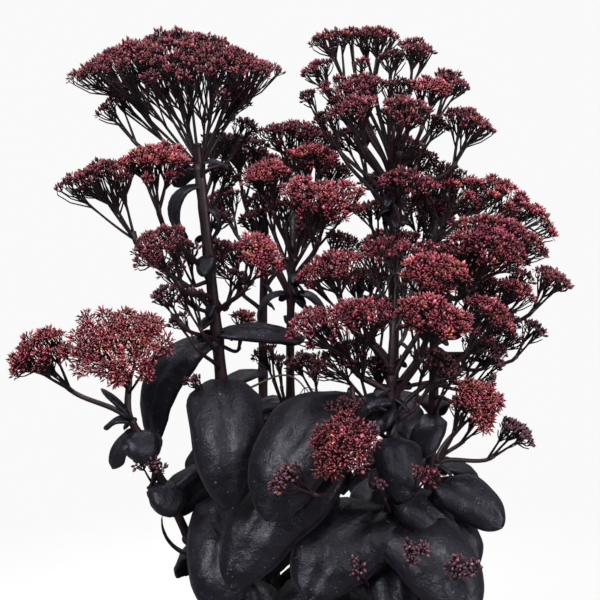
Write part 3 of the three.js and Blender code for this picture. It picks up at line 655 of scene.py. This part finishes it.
def bud_form():
    """A closed five-sided bud of length 1 along +Z."""
    rings = [radius * circle(5) + height * UP for radius, height in BUD_RINGS]
    quads, _ = ring_faces(len(rings), 5)
    row, after = np.arange(5), (np.arange(5) + 1) % 5
    triangles = np.concatenate([
        fan_faces(10, after, row), quads[:, :3], quads[:, [0, 2, 3]], fan_faces(11, row + 5, after + 5)])
    reach = np.repeat([0.3, 0.6, 0, 0.9], [5, 5, 1, 1])
    return np.concatenate([*rings, [0 * UP, UP]]), triangles, reach


FLORET_FORMS = [floret_form(62, 0.11, True), floret_form(34, 0.135, False), bud_form()]


def frames_about(ways, spin):
    """Rotation matrices whose third column is each way, turned about it by spin."""
    first = unit(np.cross(aside(ways, 0.8), ways))
    second = np.cross(ways, first)
    across = first * np.cos(spin)[:, None] + second * np.sin(spin)[:, None]
    return np.stack([across, np.cross(ways, across), ways], axis=-1)


def add_florets(pile, places, ways, tone, draw):
    """Open florets, half-open ones and buds at the places, each with a dark heart of painted shade and a pale
    tip that is partly a painted highlight.
    """
    count = len(places)
    ways = unit(ways + FLORET.wild * draw.normal(size=ways.shape))
    heart, middle, tip = [np.array(colour) for colour in tone.colours]
    kinds = draw.choice(3, size=count, p=tone.forms)
    turns = frames_about(ways, draw.uniform(0, 2 * math.pi, count))
    turns = turns * (tone.length * draw.uniform(*FLORET.sizes, count))[:, None, None]
    bright = draw.lognormal(0, FLORET.unevenness, count)[:, None]
    warm = draw.uniform(0, 1, count)[:, None] ** 4
    own = (middle * (1 - warm) + np.array(WARM_TINT) * (middle[0] / WARM_TINT[0]) * 2 * warm) * bright
    pale = tip * bright
    for kind, (form, triangles, reach) in enumerate(FLORET_FORMS):
        chosen = kinds == kind
        if not chosen.any():
            continue
        points = np.einsum("nij,vj->nvi", turns[chosen], form) + places[chosen, None]
        # Each point's tint runs from the heart's painted shade to the floret's own colour, then to the paler
        # tip with its painted highlight.
        out = 2 * reach[None, :, None]
        low, high = np.minimum(1, out), np.maximum(0, out - 1)
        tint = (heart * (1 - low) + own[chosen, None] * low) * (1 - high) + pale[chosen, None] * high
        pile.add(points, [copied(triangles, chosen.sum(), len(form))], FLORET_FINISH, tint)


def spiral(count, turn):
    """Points that fill a disc of radius 1 evenly, out to its rim."""
    index = np.arange(count)
    reach = np.sqrt((index + 0.5) / (count - 0.5)) if count > 1 else np.zeros(1)
    angle = index * GOLDEN + turn
    return np.stack([reach * np.cos(angle), reach * np.sin(angle)], axis=-1)


class Dome:
    """A small round cluster of florets: its middle, the way it faces, its radius and its place in a head."""

    def __init__(self, head, disc, radius, kind, lift, shift=0):
        half = np.array([head.wide, head.deep]) / 2
        spot = head.top[:2] + disc * (half - kind.inset * head.dome_radius) + shift
        height = head.top[2] - CANOPY_SAG * head.wide * (disc @ disc) + lift - kind.sink
        self.normal = unit(np.array([*(disc * kind.splay), 1.0]))
        self.middle = np.array([*spot, height]) - self.normal * radius
        self.radius, self.disc = radius, disc


def place_domes(head, draw):
    """The domes of the canopy, which stand in steps, and some smaller ones in the shade below its rim."""
    steps = max(1, round(head.dome_count / STEPS.domes))
    hubs = spiral(steps, head.seed + 1.0)
    raised = draw.uniform(-1, 1, steps) * STEPS.height * min(1, head.wide / STEPS.full_width)
    domes = []
    for disc in spiral(head.dome_count, head.seed):
        radius = head.dome_radius * draw.uniform(*UPPER.sizes)
        step = raised[np.argmin(np.linalg.norm(hubs - disc, axis=1))]
        domes.append(Dome(head, disc, radius, UPPER, step, draw.uniform(-1, 1, 2)))
    for i in range(round(head.tone.lower * head.dome_count) if head.wide > LOWER.least_head else 0):
        angle = i * GOLDEN + 2.0 * head.seed
        disc = np.array([math.cos(angle), math.sin(angle)]) * draw.uniform(*LOWER.reach)
        radius = head.dome_radius * draw.uniform(*LOWER.sizes)
        domes.append(Dome(head, disc, radius, LOWER, -draw.uniform(*LOWER.drop) * head.wide))
    return domes


def grouped(domes, count, turn):
    """The domes in about this many groups of neighbours."""
    hubs = spiral(count, turn)
    groups = {}
    for dome in domes:
        groups.setdefault(int(np.argmin(np.linalg.norm(hubs - dome.disc, axis=1))), []).append(dome)
    return groups.values()


def mean_middle(domes):
    return np.mean([dome.middle for dome in domes], axis=0)


def ray_curve(start, end):
    """Bezier points of a ray that bends up a little on its way from start to end."""
    sink = -RAY_BOW * np.linalg.norm(end - start) * UP
    return start, start + (end - start) / 3 + sink, start + (end - start) * 0.7 + sink, end


def add_ray(pile, head, curve, radius, kind):
    way = np.linspace(0, 1, kind.steps)
    add_tube(pile, head.world(bezier(*curve, way)), radius * (1.2 - 0.5 * way), kind.sides, RAY_TINT)


def add_fan(pile, head, domes, draw):
    """The thick rays of the head and the twigs on them. It gives each dome with the twig that carries it."""
    carried = []
    for group in grouped(domes, max(3, round(len(domes) / TRUNK.domes)), head.seed + 0.4):
        reach = np.linalg.norm(np.mean([dome.disc for dome in group], axis=0))
        root = head.fork(TRUNK.fork * head.wide * (0.15 + reach) * draw.uniform(0.4, 1))
        trunk = ray_curve(root, root + (mean_middle(group) - root) * TRUNK.reach)
        add_ray(pile, head, trunk, TRUNK.radius + TRUNK.gain * len(group), TRUNK)
        for few in grouped(group, max(2, round(len(domes) / TWIG.domes)), head.seed + 1.7):
            twig = ray_curve(bezier(*trunk, draw.uniform(*TWIG.leave)), mean_middle(few))
            add_ray(pile, head, twig, TWIG.radius, TWIG)
            carried += [(dome, twig) for dome in few]
    return carried


def add_dome(pile, head, dome, twig, turn, draw):
    """A dome of florets on pedicels, and the fine rays that carry it, which run in with its twig."""
    cap = 1 - math.cos(DOME.spread)
    area = 2 * math.pi * dome.radius ** 2 * cap
    number = max(7, round(area / (head.tone.pitch ** 2 * DOME.packing)))
    index = np.arange(number)
    polar = np.arccos(1 - cap * (index + 0.5) / number)
    angle = index * GOLDEN + turn
    ball = np.stack([np.sin(polar) * np.cos(angle), np.sin(polar) * np.sin(angle), np.cos(polar)], axis=-1)
    basis = frames_about(dome.normal[None], np.zeros(1))[0]
    ways = ball @ basis.T
    rise = dome.radius * draw.uniform(*DOME.rise, (number, 1)) - DOME.sink * head.tone.length
    places = dome.middle + ways * rise
    ways = unit(ways + DOME.upright * UP)

    count = max(4, round(RAY.count * (dome.radius / DOME.radius) ** 1.5))
    discs = np.column_stack([spiral(count, turn) * RAY.disc, np.zeros(count)])
    tops = dome.middle + dome.radius * (discs @ basis.T)
    ends = bezier(*twig, draw.uniform(*RAY.join, count))
    spans = np.linalg.norm(tops - ends, axis=1, keepdims=True)
    leave = tops + (ends - tops) * 0.35 - RAY.bow * spans * (dome.normal + UP)
    arrive = ends + (tops - ends) * 0.3
    way = np.linspace(0, 1, RAY.points)
    paths = bezier(*[points[:, None] for points in (tops, leave, arrive, ends)], way[None])
    thick = np.broadcast_to(RAY.radius * (0.85 + 0.4 * way), (count, len(way)))
    add_tubes(pile, head.world(paths), thick, 3, RAY_TINT, closed=False)

    nearest = np.argmin(np.linalg.norm(places[:, None] - tops[None], axis=-1), axis=1)
    stalks = np.stack([tops[nearest], places + ways * 0.3], axis=1)
    add_tubes(pile, head.world(stalks), np.full((number, 2), PEDICEL), 3, RAY_TINT, closed=False)
    add_florets(pile, head.world(places), ways @ head.turn, head.tone, draw)


def add_head(pile, head):
    """A canopy of domes of florets on a fan of rays that run together at the head's foot."""
    draw = np.random.default_rng(100 + head.seed)
    for i, (dome, twig) in enumerate(add_fan(pile, head, place_domes(head, draw), draw)):
        add_dome(pile, head, dome, twig, i + head.seed, draw)


# Materials

class Nodes:
    """Short calls for the nodes of a material or of the world. Each gives the new node's output."""

    def __init__(self, owner, coordinates="Object"):
        owner.use_nodes = True
        self.owner, self.tree = owner, owner.node_tree
        self.place = self.add("TexCoord", {}, coordinates)

    def fill(self, node, inputs):
        """Gives inputs their values, and links those whose value is another node's output."""
        for key, value in inputs.items():
            if isinstance(value, bpy.types.NodeSocket):
                self.tree.links.new(value, node.inputs[key])
            else:
                node.inputs[key].default_value = value

    def add(self, kind, inputs, output=0, **settings):
        node = self.tree.nodes.new("ShaderNode" + kind)
        for key, value in settings.items():
            setattr(node, key, value)
        self.fill(node, inputs)
        return node.outputs[output]

    def noise(self, scale, detail, roughness=0.55, distortion=0.0, place=None):
        inputs = {"Scale": scale, "Detail": detail, "Roughness": roughness, "Distortion": distortion}
        return self.add("TexNoise", {"Vector": place or self.place, **inputs}, "Fac")

    def ranged(self, value, low, high, to_low, to_high):
        inputs = {"Value": value, "From Min": low, "From Max": high, "To Min": to_low, "To Max": to_high}
        return self.add("MapRange", inputs, "Result")

    def mix(self, factor, first, second, mode="MIX"):
        return self.add("Mix", {0: factor, 6: first, 7: second}, 2, data_type="RGBA", blend_type=mode)

    def tinted(self, factor, spread):
        """The piece's own tint, made lighter and darker by spread as factor goes from 0 to 1."""
        tint = self.add("Attribute", {}, "Color", attribute_name="tint")
        return self.mix(1.0, tint, self.ranged(factor, 0.25, 0.75, 1 - spread, 1 + spread), "MULTIPLY")

    def bumps(self, *layers):
        """A normal from several heights, the coarsest first, each with its strength and its distance."""
        inputs = {}
        for height, strength, distance in layers:
            inputs.update({"Height": height, "Strength": strength, "Distance": distance})
            inputs["Normal"] = self.add("Bump", inputs, "Normal")
        return inputs["Normal"]

    def skin(self, colour, roughness, specular, normal, **others):
        """Fills in the material's shader."""
        inputs = {"Base Color": colour, "Roughness": roughness, "Specular IOR Level": specular}
        self.fill(self.tree.nodes["Principled BSDF"], {**inputs, "Normal": normal, **others})
        return self.owner


def new_material(name):
    return Nodes(bpy.data.materials.new(name))


def leaf_material():
    """Near-black skin with a dull, mottled bloom, pale specks, wrinkles and pits."""
    nodes = new_material("leaf_skin")
    broad, mottle, fine = nodes.noise(38, 3), nodes.noise(210, 4, 0.6), nodes.noise(1400, 2)
    wrinkle, crinkle = nodes.noise(95, 5, 0.6, 0.8), nodes.noise(330, 3, 0.6, 0.5)
    pits = nodes.add("TexVoronoi", {"Vector": nodes.place, "Scale": 420.0}, "Distance", feature="F1")
    dents = nodes.ranged(pits, 0.0, 0.35, 0.0, 1.0)
    bloom = nodes.ranged(mottle, 0.45, 0.75, 0.0, 0.45)
    specks = nodes.ranged(nodes.noise(620, 0), 0.79, 0.83, 0.0, 0.7)
    colour = nodes.mix(bloom, nodes.tinted(broad, 0.35), (0.015, 0.013, 0.022, 1))
    colour = nodes.mix(specks, colour, (0.16, 0.14, 0.16, 1))
    relief = [(wrinkle, 0.6, 0.0014), (crinkle, 0.5, 0.0007), (dents, 0.3, 0.0003), (fine, 0.2, 0.0002)]
    gloss = {"Specular Tint": (0.87, 0.85, 1.0, 1), "Sheen Weight": 0.05, "Sheen Roughness": 0.4,
             "Sheen Tint": (0.72, 0.62, 0.85, 1)}
    return nodes.skin(colour, nodes.ranged(mottle, 0.3, 0.7, 0.32, 0.5), 0.42, nodes.bumps(*relief), **gloss)


def stem_material():
    """Dark skin with fine streaks along the stem and purple-red patches."""
    nodes = new_material("stem_skin")
    stretched = nodes.add("Mapping", {"Vector": nodes.place, "Scale": (1.0, 1.0, 0.12)})
    streak, broad = nodes.noise(700, 3, place=stretched), nodes.noise(60, 3)
    patches = nodes.ranged(broad, 0.4, 0.7, 0.0, 0.5)
    colour = nodes.mix(patches, nodes.tinted(streak, 0.4), (0.050, 0.011, 0.020, 1))
    return nodes.skin(colour, nodes.ranged(streak, 0.3, 0.7, 0.42, 0.62), 0.5,
                      nodes.bumps((broad, 0.3, 0.0008), (streak, 0.35, 0.0003)))


def floret_material():
    nodes = new_material("floret_skin")
    fine = nodes.noise(1100, 2)
    roughness = nodes.ranged(fine, 0.3, 0.7, 0.5, 0.75)
    return nodes.skin(nodes.tinted(fine, 0.3), roughness, 0.35, nodes.bumps((fine, 0.3, 0.0002)))


def clay_material():
    """Fired clay with broad shades, pale lime bloom, dark grains and faint turning lines."""
    nodes = new_material("clay")
    broad, mottle, grain = nodes.noise(14, 4), nodes.noise(90, 5, 0.65), nodes.noise(1500, 3, 0.7)
    waves = {"Vector": nodes.place, "Scale": 70.0, "Distortion": 3.0, "Detail": 2.0}
    lines = nodes.add("TexWave", waves, "Fac", bands_direction="Z")
    shades = nodes.ranged(broad, 0.3, 0.7, 0.0, 1.0)
    colour = nodes.mix(shades, (0.40, 0.135, 0.060, 1), (0.30, 0.090, 0.042, 1))
    colour = nodes.mix(nodes.ranged(mottle, 0.52, 0.78, 0.0, 0.55), colour, (0.56, 0.36, 0.26, 1))
    colour = nodes.mix(nodes.ranged(grain, 0.55, 0.8, 0.0, 0.35), colour, (0.20, 0.065, 0.030, 1))
    return nodes.skin(colour, nodes.ranged(mottle, 0.3, 0.7, 0.78, 0.92), 0.3,
                      nodes.bumps((lines, 0.12, 0.0008), (mottle, 0.25, 0.0006), (grain, 0.3, 0.0002)))


def soil_material():
    nodes = new_material("soil")
    broad, grain = nodes.noise(120, 5, 0.7), nodes.noise(900, 4, 0.7)
    flecks = nodes.ranged(grain, 0.6, 0.85, 0.0, 0.6)
    return nodes.skin(nodes.mix(flecks, nodes.tinted(broad, 0.45), (0.10, 0.065, 0.040, 1)),
                      nodes.ranged(grain, 0.3, 0.7, 0.85, 1.0), 0.2,
                      nodes.bumps((broad, 0.5, 0.0015), (grain, 0.5, 0.0006)))


# Pot and soil

BAND_FOOT = POT.height - POT.band


def wall_radius(height):
    return POT.foot + (POT.rim - POT.ledge - POT.foot) * height / BAND_FOOT


BORE = wall_radius(BAND_FOOT) - POT.wall


def turned(profile):
    """Rings about Z for a profile of (radius, height) points, whose first and last lie on the axis."""
    sides = POT.sides
    inner = np.array(profile[1:-1], dtype=float)
    rings = circle(sides) * inner[:, 0, None, None] + UP * inner[:, 1, None, None]
    points = np.concatenate([rings.reshape(-1, 3), [[0, 0, profile[0][1]], [0, 0, profile[-1][1]]]])
    quads, (_, last) = ring_faces(len(inner), sides)
    row, after = np.arange(sides), (np.arange(sides) + 1) % sides
    foot = fan_faces(len(points) - 2, after, row)
    return points, [quads, foot, fan_faces(len(points) - 1, last, np.roll(last, -1))]


def make_pot():
    """The pot, with its small edges rounded as fired clay is, and with its drain holes cut."""
    height, rim, foot, floor = POT.height, POT.rim, POT.foot, POT.floor
    outside = [(wall_radius(z), z) for z in np.linspace(3, BAND_FOOT - 1.5, 16)]
    inside = [(wall_radius(z) - POT.wall, z) for z in np.linspace(BAND_FOOT, floor + 4, 12)]
    pile = Pile()
    points, faces = turned([
        (0, 0), (foot - 14, 0), (foot - 2, 0), (foot - 0.5, 0.7), (wall_radius(2), 2), *outside,
        (wall_radius(BAND_FOOT) + 0.4, BAND_FOOT - 0.4), (rim - 2.6, BAND_FOOT), (rim - 1.4, BAND_FOOT + 0.9),
        (rim - 1, BAND_FOOT + 2.4), (rim - 0.4, height - 10), (rim, height - 4), (rim - 0.5, height - 1.8),
        (rim - 1.8, height - 0.5), (rim - 3.6, height), (BORE + 3, height), (BORE + 1.2, height - 0.8),
        (BORE + 0.3, height - 2.4), (BORE, height - 5), *inside,
        (wall_radius(floor) - POT.wall - 3, floor + 0.6), (30, floor), (0, floor),
    ])
    pile.add(points, faces, 0, (1, 1, 1))
    pot = pile.build("pot_body", [clay_material()])
    cutters = []
    for k in range(DRAIN.count):
        angle = (k + 0.5) / DRAIN.count * 2 * math.pi
        place = (DRAIN.ring * math.cos(angle) * MM, DRAIN.ring * math.sin(angle) * MM, 0)
        bpy.ops.mesh.primitive_cylinder_add(
            vertices=DRAIN.sides, radius=DRAIN.radius * MM, depth=4 * floor * MM, location=place)
        cutters.append(bpy.context.object)
        cut = pot.modifiers.new(f"drain_{k}", "BOOLEAN")
        cut.object = cutters[-1]
        cut.solver = "EXACT"
    finished = bpy.data.meshes.new_from_object(pot.evaluated_get(bpy.context.evaluated_depsgraph_get()))
    pot.modifiers.clear()
    pot.data = finished
    for cutter in cutters:
        bpy.data.objects.remove(cutter)
    return pot


SOIL_TINT = (0.030, 0.019, 0.013)
SOIL_RINGS = 36
CRUMBS = Sizes(count=900, jitter=2, flatness=(0.5, 1), size=0.7, size_gain=2.4, turn=6.28, rise=0.3)
CRUMB_TINTS = [(0.022, 0.014, 0.010), (0.055, 0.035, 0.022), (0.10, 0.06, 0.035), (0.16, 0.14, 0.12)]
CRUMB_SHARES = (0.6, 0.27, 0.1, 0.03)


def soil_height(x, y):
    """The soil's surface: a few broad swells with smaller lumps on them."""
    swells = 1.8 * np.sin(x * 0.13 + 1) * np.cos(y * 0.11) + 0.7 * np.sin(0.41 * x + 1.3 * np.sin(0.2 * y))
    lumps = 0.5 * np.cos(0.53 * y + 1.1 * np.sin(0.33 * x)) + 0.25 * np.sin(1.1 * x + 0.9 * y)
    return SOIL_TOP + swells + lumps


def make_soil():
    """The soil, a little clear of the pot all round, with crumbs strewn over it."""
    draw = np.random.default_rng(7)
    edge = BORE - 2 * GAP
    low = POT.floor + GAP
    surface = [(radius, SOIL_TOP) for radius in np.linspace(edge, 2.0, SOIL_RINGS)]
    foot = wall_radius(low) - POT.wall - 2 * GAP
    points, faces = turned([(0, low), (foot, low), (edge, BAND_FOOT), *surface, (0, SOIL_TOP)])
    top = points[:, 2] > SOIL_TOP - 1
    points[top, 2] = soil_height(points[top, 0], points[top, 1])
    pile = Pile()
    pile.add(points, faces, 0, SOIL_TINT)
    bpy.ops.mesh.primitive_ico_sphere_add(subdivisions=1, radius=1)
    pebble = bpy.context.object
    form = np.array([corner.co[:] for corner in pebble.data.vertices])
    triangles = np.array([face.vertices[:] for face in pebble.data.polygons])
    bpy.data.objects.remove(pebble)
    count = CRUMBS.count
    spots = spiral(count, 0.0) * (edge - 3) + draw.uniform(-CRUMBS.jitter, CRUMBS.jitter, (count, 2))
    sizes = draw.uniform(*CRUMBS.flatness, (count, 3))
    sizes = sizes * (CRUMBS.size + CRUMBS.size_gain * draw.random((count, 1)) ** 4)
    turns = frames_about(unit(draw.normal(size=(count, 3))), draw.uniform(0, CRUMBS.turn, count))
    lumps = form[None] * sizes[:, None] * draw.uniform(0.75, 1.2, (count, len(form), 1))
    ground = np.column_stack([spots, soil_height(spots[:, 0], spots[:, 1]) + CRUMBS.rise])
    crumbs = np.einsum("nij,nvj->nvi", turns, lumps) + ground[:, None]
    tints = np.array(CRUMB_TINTS)[draw.choice(4, size=count, p=CRUMB_SHARES)]
    pile.add(crumbs, [copied(triangles, count, len(form))], 0, np.repeat(tints, len(form), axis=0))
    return pile.build("soil_mix", [soil_material()])


def settle(piece, slot, *nodes):
    """The piece rides with the pot and stands for its solids."""
    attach(piece, "root")
    if nodes:
        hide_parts(*nodes)


# Assembly

settle(make_pot(), "clay", "pot")
settle(make_soil(), "soil", "soil")

plant_materials = [leaf_material(), stem_material(), floret_material()]
heads = [Head(index, *row) for index, row in enumerate(HEADS)]
sprays = [Head(index, *row) for index, row in enumerate(SPRAYS, len(HEADS))]
leaf_seed = 0
for name in STEMS:
    own_heads = [head for head in heads if head.stem == name]
    own_sprays = [head for head in sprays if head.stem == name]
    bracts = [bract(head) for head in own_heads + own_sprays if head.wide > BRACT.least_head]
    pile = Pile()
    add_stem(pile, name, leaves_of(name), own_heads + own_sprays)
    for leaf in leaves_of(name) + bracts:
        leaf_seed += 1
        add_leaf(pile, name, leaf_seed, *leaf)
    if name == DRY_SPRIG.stem:
        add_dry_sprig(pile)
    settle(pile.build(f"shoot_{name}", plant_materials), "leaf", f"stem_{name}")
    for number, head in enumerate(own_heads, 1):
        pile = Pile()
        add_head(pile, head)
        settle(pile.build(f"bloom_{name}_{number}", plant_materials), head.tone.slot, f"head_{name}_{number}")
    if own_sprays:
        pile = Pile()
        for head in own_sprays:
            add_head(pile, head)
        settle(pile.build(f"sprays_{name}", plant_materials), "floret_bud")

# Floor, light and camera

WHITE = (0.95, 0.95, 0.95, 1)
# What the camera sees of the floor is paler than what it throws back at the plant.
FLOOR = Sizes(radius=14, sides=96, seen=(0.84, 0.83, 0.82, 1), lit=(0.16, 0.16, 0.17, 1), fade=(0.2, 0.75))
SKY = Sizes(tint=(0.96, 0.98, 1.0, 1), strength=(0.05, 0.9))
# Each light's name, its place and size across in metres, and its power in watts
LIGHTS = [
    ("key", (-0.75, -1.15, 1.65), 0.9, 24),
    ("fill", (1.25, -0.95, 0.95), 1.0, 12),
    ("top", (0.1, 0.35, 1.75), 1.1, 16),
]
LIT_POINT = (0, 0, 0.42)


def make_stage():
    """A pale floor that goes over into the white of the background away from the pot."""
    nodes = new_material("floor")
    distance = nodes.add("VectorMath", {0: nodes.place}, "Value", operation="LENGTH")
    seen = nodes.add("LightPath", {}, "Is Camera Ray")
    far = nodes.ranged(distance, *FLOOR.fade, 0.0, 1.0)
    away = nodes.add("Math", {0: far, 1: seen}, operation="MULTIPLY")
    shader = nodes.tree.nodes["Principled BSDF"]
    colour = nodes.mix(seen, FLOOR.lit, FLOOR.seen)
    nodes.fill(shader, {"Base Color": colour, "Roughness": 0.9, "Specular IOR Level": 0.1})
    glow = nodes.add("Emission", {"Color": WHITE, "Strength": 1.0})
    both = nodes.add("MixShader", {0: away, 1: shader.outputs["BSDF"], 2: glow})
    nodes.fill(nodes.tree.nodes["Material Output"], {"Surface": both})
    bpy.ops.mesh.primitive_circle_add(vertices=FLOOR.sides, radius=FLOOR.radius, fill_type="NGON")
    floor = bpy.context.object
    floor.name = "floor"
    floor.data.materials.append(nodes.owner)


def make_world():
    """White to the eye, and a soft sky for light: bright overhead and dimmer towards the horizon."""
    world = bpy.data.worlds.new("studio")
    bpy.context.scene.world = world
    nodes = Nodes(world, "Generated")
    height = nodes.add("SeparateXYZ", {"Vector": nodes.place}, "Z")
    sky = nodes.tree.nodes["Background"]
    nodes.fill(sky, {"Color": SKY.tint, "Strength": nodes.ranged(height, 0.0, 1.0, *SKY.strength)})
    seen = nodes.add("Background", {"Color": WHITE, "Strength": 1.0})
    ray = nodes.add("LightPath", {}, "Is Camera Ray")
    both = nodes.add("MixShader", {0: ray, 1: sky.outputs["Background"], 2: seen})
    nodes.fill(nodes.tree.nodes["World Output"], {"Surface": both})


def aim(item, place, target):
    """Stands a light or the camera at its place and points it at its target."""
    item.location = place
    item.rotation_mode = "QUATERNION"
    item.rotation_quaternion = (Vector(target) - Vector(place)).to_track_quat("-Z", "Y")


def make_lights():
    for name, place, size, power in LIGHTS:
        data = bpy.data.lights.new(name, "AREA")
        data.shape, data.size, data.energy = "DISK", size, power
        aim(add_object(name, data), place, LIT_POINT)


def make_camera():
    data = bpy.data.cameras.new("camera")
    data.lens, data.sensor_width = CAMERA.lens, CAMERA.sensor
    camera = add_object("camera", data)
    rise = math.radians(CAMERA.elevation)
    target = Vector(CAMERA.target) * MM
    aim(camera, target + Vector((0, -math.cos(rise), math.sin(rise))) * CAMERA.distance * MM, target)
    bpy.context.scene.camera = camera


make_stage()
make_world()
make_lights()
make_camera()
bpy.context.scene.view_settings.view_transform = "Standard"
